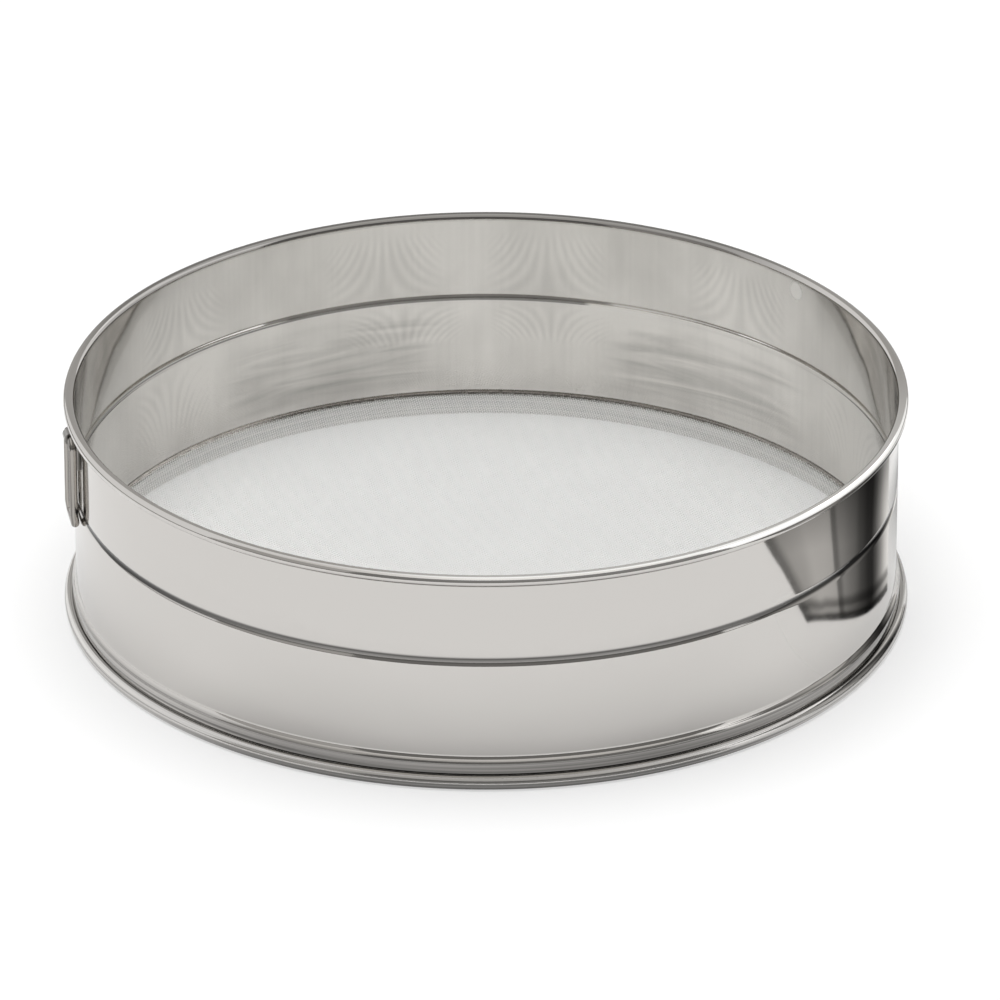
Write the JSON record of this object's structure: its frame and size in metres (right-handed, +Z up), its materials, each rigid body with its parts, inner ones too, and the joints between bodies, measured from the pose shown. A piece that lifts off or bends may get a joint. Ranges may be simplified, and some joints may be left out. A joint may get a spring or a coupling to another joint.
{
  "type": "tamis drum sieve",
  "caption": "Round flat drum sieve: a deep polished steel drum with wired edges and a fine steel cloth across its foot, and a small hinged hanging loop.",
  "frame": {"origin": "centre of the foot, in the plane that it stands on", "axes": "+Z up along the drum's axis, -Y towards the front of the picture's view, the hanging loop 10 degrees in front of -X"},
  "size_m": [0.3018, 0.3018, 0.082],
  "materials": {
    "polished_steel": "polished",
    "wire_steel": "satin",
    "cloth_steel": "bright woven wire"
  },
  "bodies": {
    "drum": {"drum_wall": "polished_steel", "rim_wire": "wire_steel", "base_ring": "polished_steel", "foot_wire": "wire_steel", "mesh_cloth": "cloth_steel", "loop_clip": "polished_steel", "clip_rivet": "polished_steel"},
    "loop": {"hanging_loop": "polished_steel"}
  },
  "joints": [
    {"name": "loop_swing", "type": "hinge", "parent": "drum", "child": "loop", "pos_m": [-0.1467, -0.02587, 0.07535], "axis": [-0.1736, 0.9848, 0], "range_deg": [0, 125]}
  ]
}
